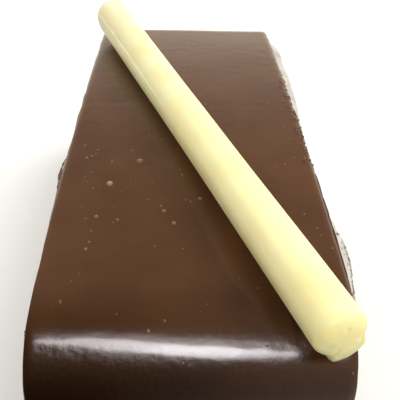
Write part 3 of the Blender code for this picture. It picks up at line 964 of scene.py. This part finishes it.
# Bubbles that the photograph shows: column, row, width in pixels, how pale
BUBBLES_SEEN = (
    (98, 150, 2.1, 0.75), (96, 154, 2.1, 0.65), (92, 156, 2.4, 0.65), (87, 158, 3.3, 0.65),
    (85, 146, 3.4, 0.3), (112, 162, 3.0, 0.5), (91.5, 172.5, 3.0, 0.3), (110, 184, 7.6, 0.9),
    (140, 161, 7.4, 0.52), (93, 189, 2.6, 0.4), (82, 207, 2.6, 0.3), (96.5, 217, 5.2, 0.45),
    (86, 219, 3.2, 0.3), (117.5, 220, 4.6, 0.35), (113.5, 222.5, 2.8, 0.3), (164, 211, 5.2, 0.5),
    (161, 206, 3.2, 0.4), (174, 223, 5.6, 0.48), (200, 199, 4.8, 0.55), (186, 200, 2.4, 0.5),
    (182, 175, 3.2, 0.4), (89.5, 242, 3.2, 0.5), (86, 249, 4.2, 0.5), (178, 150, 2.8, 0.3),
    (132, 151, 3.0, 0.3), (149, 136, 2.4, 0.3), (61, 301, 3.4, 0.4), (165, 320, 3.2, 0.5),
    (149, 330, 4.2, 0.8), (183, 361, 3.4, 0.7),
    (189, 364, 2.8, 0.6), (156, 355, 2.8, 0.6), (266, 344, 3.0, 0.6), (285, 164, 2.4, 0.5),
    (290, 139, 2.2, 0.5), (294, 158, 2.2, 0.5), (304, 214, 2.6, 0.4), (317, 228, 2.6, 0.4),
    (332, 248, 2.8, 0.4), (267, 104, 2.2, 0.4), (122, 192, 2.2, 0.3), (104, 172, 2.0, 0.3),
    (349, 371, 3.0, 0.5),
)


def mostly_small(draw, smallest, largest):
    """A random size, more often small than large."""
    return smallest + (largest - smallest) * draw.random() ** 2


def add_dome(points, faces, values, x, y, radius, height, pale):
    """One low bubble on the top of the glaze, with its rim just under the skin."""
    lean = lean_at(y)
    z = top_height(y, 0.0)
    first = len(points)
    out_y, out_z = math.sin(lean), math.cos(lean)

    def add(across, along, lift, value):
        here = y + along * out_z
        up = z - along * out_y
        depth = glaze_skin_depth(x + across, here, up) - lift
        points.append(settle(x + across, here - out_y * depth, up - out_z * depth))
        values.append(value)

    add(0.0, 0.0, height, pale)
    for ring in range(1, BUBBLE_RINGS + 1):
        share = ring / BUBBLE_RINGS
        lift = (height + BUBBLE_SINK) * (1 - share ** 2) - BUBBLE_SINK
        for k in range(BUBBLE_SIDES):
            turn = math.tau * k / BUBBLE_SIDES
            across, along = BUBBLE_LUMPS * math.cos(turn), BUBBLE_LUMPS * math.sin(turn)
            uneven = smooth_noise(across, along, y / MM)
            reach = radius * share * (1 + BUBBLE_UNEVENNESS * uneven)
            stretched = BUBBLE_STRETCH * reach * math.sin(turn)
            add(reach * math.cos(turn), stretched, lift, pale * (1 - share ** 2))
    add(0.0, 0.0, -2 * BUBBLE_SINK, 0.0)
    bottom = len(points) - 1
    for k in range(BUBBLE_SIDES):
        after = (k + 1) % BUBBLE_SIDES
        faces.append((first, first + 1 + k, first + 1 + after))
        for ring in range(BUBBLE_RINGS - 1):
            inner = first + 1 + ring * BUBBLE_SIDES
            outer = inner + BUBBLE_SIDES
            faces.append((inner + k, outer + k, outer + after, inner + after))
        rim = first + 1 + (BUBBLE_RINGS - 1) * BUBBLE_SIDES
        faces.append((rim + after, rim + k, bottom))


def make_bubbles(material):
    """Bubbles that rose to the skin of the glaze: those in the photograph, and fine ones all over."""
    points, faces, values = [], [], []
    for column, row, width, pale in BUBBLES_SEEN:
        spot = seen_on_top(column, row)
        distance = (spot - CAMERA_PLACE).length
        radius = 0.5 * width * distance * CAMERA_SENSOR / (CAMERA_LENS * PHOTO_SIZE)
        add_dome(points, faces, values, spot.x, spot.y, radius, BUBBLE_SEEN_HEIGHT * radius, pale)
    draw = random.Random(BUBBLE_SEED)
    for _ in range(BUBBLE_COUNT):
        x = draw.uniform(-1, 1) * (HALF_WIDTH - BUBBLE_SIDE_MARGIN)
        y = draw.uniform(-1, 1) * (HALF_LENGTH - BUBBLE_END_MARGIN)
        radius = mostly_small(draw, BUBBLE_SMALLEST, BUBBLE_LARGEST)
        pale = draw.uniform(*BUBBLE_FINE_PALE)
        add_dome(points, faces, values, x, y, radius, BUBBLE_FINE_HEIGHT * radius, pale)
    mesh = smooth_mesh("glaze_bubbles", points, faces)
    store(mesh, "pale", values)
    place_piece("glaze_bubbles", mesh, material)


# Crumbs

CRUMB_SEED = 11
CRUMB_SINK = 0.4
CRUMB_BELOW_GLAZE = 0.5 * MM

# Shape of a crumb: how far it is drawn out along each axis, and how rough it is
CRUMB_STRETCH = ((0.6, 0.9), (0.8, 1.5), (0.7, 1.1))
CRUMB_ROUGHNESS = 0.45
CRUMB_LUMPS = 2.1
CRUMB_NOISE_REACH = 100.0

# Where crumbs stick: side, from y, to y, from z, to z, how many, smallest and largest half size
CRUMB_BANDS = (
    (-1, -24 * MM, -11.5 * MM, 34.6 * MM, 36.3 * MM, 150, 0.18 * MM, 0.44 * MM),
    (-1, -29 * MM, -8 * MM, 33.2 * MM, 36.2 * MM, 90, 0.14 * MM, 0.36 * MM),
    (-1, -34 * MM, -2 * MM, 30.0 * MM, 35.0 * MM, 50, 0.12 * MM, 0.30 * MM),
    (1, -52 * MM, -28 * MM, 34.7 * MM, 35.3 * MM, 150, 0.12 * MM, 0.24 * MM),
    (1, -42 * MM, -31 * MM, 35.3 * MM, 36.0 * MM, 16, 0.12 * MM, 0.28 * MM),
    (1, 2 * MM, 49 * MM, 34.4 * MM, 35.2 * MM, 30, 0.10 * MM, 0.20 * MM),
    (-1, -54 * MM, 54 * MM, 28.2 * MM, 35.5 * MM, 46, 0.14 * MM, 0.42 * MM),
    (1, -54 * MM, 54 * MM, 28.2 * MM, 34.5 * MM, 46, 0.14 * MM, 0.42 * MM),
    (-1, -56 * MM, 56 * MM, 11.6 * MM, 17.6 * MM, 60, 0.14 * MM, 0.32 * MM),
    (1, -56 * MM, 56 * MM, 11.6 * MM, 17.6 * MM, 60, 0.14 * MM, 0.32 * MM),
)
EDGE_BITS_WIDTH = 1.6 * MM
EDGE_BITS_OUT = 0.05 * MM
EDGE_BITS_FLATNESS = 0.45
EDGE_BITS_CROWDING = 1.5

# Torn bits along the glaze's right edge: from y, to y, how many, smallest and largest half size
EDGE_BITS = (
    (-19 * MM, -5 * MM, 52, 0.18 * MM, 0.42 * MM),
    (-9 * MM, 9 * MM, 62, 0.18 * MM, 0.42 * MM),
    (11 * MM, 18 * MM, 20, 0.16 * MM, 0.40 * MM),
    (18 * MM, 42 * MM, 16, 0.10 * MM, 0.20 * MM),
)


def side_reach(y, z, side):
    """Half width of the slice at a place of a cut side, on whichever layer is there."""
    low = 0.0
    for high, side_rule in (
            (SPONGE_BASE_TOP, sponge_side), (CREAM_LOWER_TOP, lower_cream_side),
            (SPONGE_MIDDLE_TOP, sponge_side)):
        if z < high:
            return side_rule(y, z, (z - low) / (high - low), side)[0]
        low = high
    return upper_cream_side(y, z, (z - low) / (top_height(y, LAYER_INSET) - low), side)[0]


def lump_shape():
    """Points and faces of a small ball, from which crumbs are made."""
    bm = bmesh.new()
    bmesh.ops.create_icosphere(bm, subdivisions=2, radius=1.0)
    points = np.array([vert.co[:] for vert in bm.verts])
    faces = np.array([[vert.index for vert in face.verts] for face in bm.faces])
    bm.free()
    return points, faces


def join_lumps(name, spots, draw, flatness=1.0):
    """One mesh of rough lumps, each at a spot (x, y, z, half size)."""
    ball, ball_faces = lump_shape()
    points, faces = [], []
    for x, y, z, size in spots:
        stretch = np.array([draw.uniform(*span) for span in CRUMB_STRETCH])
        shift = draw.uniform(0, CRUMB_NOISE_REACH)
        rough = np.array([1 + CRUMB_ROUGHNESS * smooth_noise(*(CRUMB_LUMPS * p + shift)) for p in ball])
        turn = np.array(Matrix.Rotation(draw.uniform(0, math.tau), 3, "X"))
        faces.append(ball_faces + len(points) * len(ball))
        lump = (ball * rough[:, None] * stretch * size) @ turn.T
        points.append(lump * (1.0, 1.0, flatness) + np.array(settle(x, y, z)))
    return smooth_mesh(name, np.concatenate(points).tolist(), np.concatenate(faces).tolist())


def make_crumbs():
    """Sponge crumbs that the knife dragged over the cream, and torn bits along the glaze's right edge."""
    draw = random.Random(CRUMB_SEED)
    spots = []
    for side, low_y, high_y, low_z, high_z, count, smallest, largest in CRUMB_BANDS:
        for _ in range(count):
            y = draw.uniform(low_y, high_y)
            z = min(draw.uniform(low_z, high_z), top_height(y, LAYER_INSET) - CRUMB_BELOW_GLAZE)
            size = mostly_small(draw, smallest, largest)
            x = side * (side_reach(y, z, side) - CRUMB_SINK * size)
            spots.append((x, y, z, size))
    loose = crumb_material("loose_crumb", CRUMB_BROWN, CRUMB_TAN)
    place_piece("side_crumbs", join_lumps("side_crumbs", spots, draw), loose)
    spots = []
    for low_y, high_y, count, smallest, largest in EDGE_BITS:
        for _ in range(count):
            y = draw.uniform(low_y, high_y)
            size = mostly_small(draw, smallest, largest)
            inwards = draw.random() ** EDGE_BITS_CROWDING * EDGE_BITS_WIDTH
            x = glaze_reach(y, 1) + EDGE_BITS_OUT - inwards
            z = top_height(y, 0.0) - glaze_skin_depth(x, y, SLICE_HEIGHT)
            spots.append((x, y, z, size))
    torn = crumb_material("torn_edge", EDGE_BROWN, EDGE_TAN)
    lumps = join_lumps("edge_crumbs", spots, draw, EDGE_BITS_FLATNESS)
    place_piece("edge_crumbs", lumps, torn)


# Stage, light and camera

FLOOR_REACH = 6.0
FLOOR_DROP = 0.02 * MM
FLOOR_COLOUR = (0.95, 0.942, 0.927)


def add_sheet(name, corners, faces, **looks):
    """A flat object beside the slice, of one plain material."""
    mesh = bpy.data.meshes.new(name)
    mesh.from_pydata(corners, [], faces)
    net = Net(bpy.data.materials.new(name))
    net.set(**looks)
    mesh.materials.append(net.material)
    sheet = bpy.data.objects.new(name, mesh)
    bpy.context.scene.collection.objects.link(sheet)
    return sheet


def make_floor():
    """Plain pale floor."""
    corners = [(x * FLOOR_REACH, y * FLOOR_REACH, 0) for x, y in ((-1, -1), (1, -1), (1, 1), (-1, 1))]
    floor = add_sheet("floor", corners, [(0, 1, 2, 3)], Base_Color=FLOOR_COLOUR, Roughness=0.5)
    floor.location.z = -FLOOR_DROP
    floor.visible_glossy = False
    floor.visible_diffuse = False


FLAG_HALF_WIDTH = 3.0 * MM
FLAG_APRON_LEFT = -1.5 * MM
FLAG_LENGTH = 15.0 * MM
FLAG_DROP = 6.2 * MM
FLAG_CLEARANCE = 0.3 * MM
FLAG_COLOUR = (0.01, 0.008, 0.006)


def make_flag():
    """A small dark card, unseen itself, that keeps light off the glaze below the stick's near end."""
    level = -STICK_NEAR_RADIUS - FLAG_CLEARANCE
    corners = [
        (-FLAG_HALF_WIDTH, FLAG_LENGTH, level), (FLAG_HALF_WIDTH, FLAG_LENGTH, level),
        (-FLAG_HALF_WIDTH, 0.0, level), (FLAG_HALF_WIDTH, 0.0, level),
        (FLAG_APRON_LEFT, 0.0, level), (FLAG_APRON_LEFT, 0.0, level - FLAG_DROP),
        (FLAG_HALF_WIDTH, 0.0, level - FLAG_DROP)]
    faces = [(0, 1, 3, 2), (4, 3, 6, 5)]
    flag = add_sheet("flag", corners, faces, Base_Color=FLAG_COLOUR, Roughness=1.0, Specular_IOR_Level=0.0)
    flag.data.transform(stick_lay())
    flag.location = SLICE_CENTRE
    flag.visible_camera = False


WINDOW_CENTRE = Vector((0.0, -0.61, 0.350))
WINDOW_LENGTH = 0.47
WINDOW_HEIGHT = 0.12
WINDOW_SLANT = math.radians(-50.0)
WINDOW_PANES = 12
WINDOW_RADIANCE = 31.0
WINDOW_TILT = math.radians(27.0)
WINDOW_BASE = 0.48
WINDOW_PEAK = 0.42
WINDOW_BRIGHTEST = 0.045
WINDOW_SPREAD = 0.085
WINDOW_FADE = (0.115, 0.195)
WINDOW_COLOUR = (0.97, 0.96, 1.0)
GLOW_RISE = 0.14
GLOW_HEIGHT = 0.16
GLOW_SHARE = 0.15
SPOT_PLACE = Vector((0.10, -0.42, 0.09))
SPOT_TARGET = Vector((0.0165, -0.064, 0.048))
SPOT_POWER = 5.6
SPOT_ANGLE = math.radians(4.6)
SPOT_RADIUS = 0.012
SPOT_COLOUR = (1.0, 0.98, 0.93)

# Soft lights that no gloss shows: name, place, size, power, colour
SOFT_LIGHTS = (
    ("key", Vector((0.42, 0.26, 0.72)), (0.50, 0.50), 3.0, (1.0, 0.97, 0.92)),
    ("fill", Vector((0.12, -0.17, 0.07)), (0.06, 0.06), 0.03, (1.0, 0.97, 0.94)),
)


def add_light(name, kind, place, target, power, colour):
    """A light at a place, turned to face a target and unseen itself."""
    light = bpy.data.lights.new(name, kind)
    light.energy = power
    light.color = colour
    lamp = bpy.data.objects.new(name, light)
    bpy.context.scene.collection.objects.link(lamp)
    lamp.location = place
    lamp.rotation_euler = (target - place).to_track_quat("-Z", "Y").to_euler()
    lamp.visible_camera = False
    return lamp


def add_softbox(name, place, size, power, colour, diffuse=True, glossy=True):
    """A rectangular area light that faces the slice."""
    lamp = add_light(name, "AREA", place, Vector((0.0, 0.0, SLICE_HEIGHT)), power, colour)
    lamp.data.shape = "RECTANGLE"
    lamp.data.size, lamp.data.size_y = size
    lamp.visible_diffuse = diffuse
    lamp.visible_glossy = glossy
    return lamp


WORLD_BACKDROP = (0.95, 0.945, 0.925)
WORLD_SKY = (1.82, 1.79, 1.73)
WORLD_VIEWER_SIDE = (0.02, 0.02, 0.02)
WORLD_BELOW = 0.45

# Where the sky brightens along the slice, as (sine + 1) / 2, and darkens towards the ground, as a sine
SKY_RISE = (0.33, 0.56)
SKY_GROUND = (-0.15, 0.05)

# What the gloss shows behind the slice, from the horizon up: height as (sine + 1) / 2, colour
GLOSS_RISE = (
    (0.56, (1.10, 0.98, 0.82)),
    (0.60, (0.90, 0.79, 0.65)),
    (0.66, (0.62, 0.52, 0.44)),
    (0.72, (0.44, 0.35, 0.29)),
    (0.80, (0.26, 0.21, 0.18)),
    (0.90, (0.12, 0.11, 0.10)),
)

# What the gloss shows on the viewer's side, from left to right, and where it turns into what is behind
GLOSS_VIEWER_LEFT = (0.01, 0.01, 0.01)
GLOSS_VIEWER_RIGHT = (0.75, 0.60, 0.52)
GLOSS_VIEWER_ACROSS = (-0.1, 0.35)
GLOSS_VIEWER_TURN = (-0.25, 0.1)


def make_world():
    """Soft surroundings: a pale sky that is dark on the viewer's side, and a calmer one in the gloss."""
    world = bpy.data.worlds.new("studio")
    bpy.context.scene.world = world
    net = Net(world, "Background")
    across, along, up = net.split(net.nodes.new("ShaderNodeTexCoord").outputs["Generated"])
    stops = zip(SKY_RISE, (WORLD_VIEWER_SIDE, WORLD_SKY))
    sky = net.ramp(net.remap(along, -1.0, 1.0), *stops)
    sky = net.mix(net.remap(up, *SKY_GROUND, 1 - WORLD_BELOW, 0.0), sky, (0.0, 0.0, 0.0))
    gloss = net.ramp(net.remap(up, -1.0, 1.0), *GLOSS_RISE)
    viewer = net.mix(net.remap(across, *GLOSS_VIEWER_ACROSS), GLOSS_VIEWER_LEFT, GLOSS_VIEWER_RIGHT)
    gloss = net.mix(net.remap(along, *GLOSS_VIEWER_TURN), viewer, gloss)
    path = net.nodes.new("ShaderNodeLightPath")
    light = net.mix(path.outputs["Is Glossy Ray"], sky, gloss)
    light = net.mix(path.outputs["Is Camera Ray"], light, WORLD_BACKDROP)
    net.set(Color=light)


def add_window_panes(name, rise, height, radiance):
    """A slanted row of panes that only gloss shows: brightest right of the middle, fading out beyond."""
    pane_length = WINDOW_LENGTH / WINDOW_PANES
    along_window = Vector((math.cos(WINDOW_SLANT), 0.0, math.sin(WINDOW_SLANT)))
    for k in range(WINDOW_PANES):
        along = WINDOW_LENGTH * ((k + 0.5) / WINDOW_PANES - 0.5)
        share = WINDOW_BASE + WINDOW_PEAK * hump(along, WINDOW_BRIGHTEST, WINDOW_SPREAD)
        share *= 1 - smoothstep(*WINDOW_FADE, along)
        power = radiance * share * math.pi * pane_length * height
        place = WINDOW_CENTRE + Vector((0.0, 0.0, rise)) + along * along_window
        size = (pane_length, height)
        pane = add_softbox(f"{name}_{k}", place, size, power, WINDOW_COLOUR, diffuse=False)
        pane.rotation_euler = (math.pi / 2 - WINDOW_TILT, 0.0, 0.0)
        pane.rotation_euler.rotate_axis("Z", WINDOW_SLANT)


def add_spot():
    """A narrow spot on the stick's near end."""
    lamp = add_light("spot", "SPOT", SPOT_PLACE, SPOT_TARGET, SPOT_POWER, SPOT_COLOUR)
    lamp.data.spot_size = SPOT_ANGLE
    lamp.data.spot_blend = 1.0
    lamp.data.shadow_soft_size = SPOT_RADIUS
    lamp.visible_glossy = False


def make_lights():
    """A large soft key from the back right, a fill and a spot in front, and a window only in the gloss."""
    for soft_light in SOFT_LIGHTS:
        add_softbox(*soft_light, glossy=False)
    add_spot()
    add_window_panes("window", 0.0, WINDOW_HEIGHT, WINDOW_RADIANCE)
    add_window_panes("glow", GLOW_RISE, GLOW_HEIGHT, WINDOW_RADIANCE * GLOW_SHARE)


def make_camera():
    """The photograph's viewpoint: above the near end, looking down along the slice."""
    camera = bpy.data.cameras.new("camera")
    camera.lens = CAMERA_LENS
    camera.sensor_width = CAMERA_SENSOR
    camera.clip_start = CAMERA_CLIP
    holder = bpy.data.objects.new("camera", camera)
    bpy.context.scene.collection.objects.link(holder)
    holder.matrix_world = Matrix.Translation(SLICE_CENTRE + CAMERA_PLACE) @ CAMERA_TURN
    bpy.context.scene.camera = holder


make_camera()
make_floor()
make_flag()
make_world()
make_lights()
bpy.context.scene.view_settings.view_transform = "Standard"
sponge = sponge_material()
cream = cream_material()
glaze = glaze_material()
make_glaze(glaze)
make_layers(sponge, cream)
make_stick(stick_material())
make_bubbles(bubble_material())
make_crumbs()
